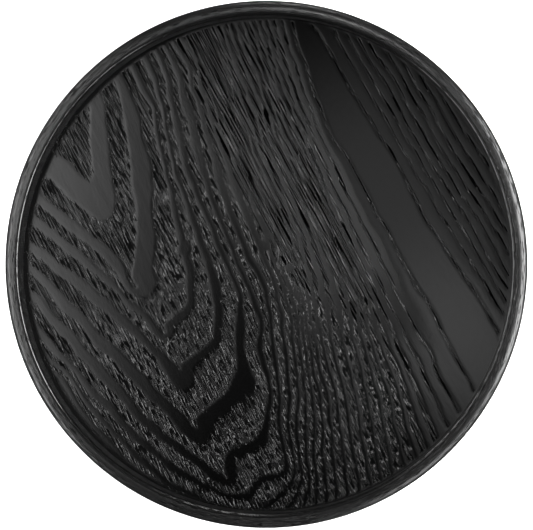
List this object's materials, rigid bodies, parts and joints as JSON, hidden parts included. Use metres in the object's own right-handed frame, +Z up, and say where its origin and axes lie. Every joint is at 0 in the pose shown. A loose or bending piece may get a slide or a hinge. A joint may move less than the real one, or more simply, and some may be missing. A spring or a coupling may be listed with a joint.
{
  "type": "serving tray",
  "caption": "Round low serving tray with a flat veneered floor and a wide bent-wood rim, in black lacquered open-pore ash.",
  "frame": {"origin": "centre of the ring that the tray stands on, at the table's surface", "axes": "+Z up through the serving face; +X and +Y lie in the floor, with the veneer's grain running at about 63 degrees below +X"},
  "size_m": [0.33, 0.33, 0.02],
  "materials": {
    "lacquered_ash_veneer": "satin",
    "lacquered_ash_rim": "satin",
    "poplar_core": "matte"
  },
  "bodies": {
    "root": {"floor_face_veneer": "lacquered_ash_veneer", "floor_core_upper": "poplar_core", "floor_core_middle": "poplar_core", "floor_core_lower": "poplar_core", "floor_back_veneer": "lacquered_ash_veneer", "rim_strip_inner": "lacquered_ash_rim", "rim_strip_second": "lacquered_ash_rim", "rim_strip_third": "lacquered_ash_rim", "rim_strip_outer": "lacquered_ash_rim"}
  },
  "joints": []
}
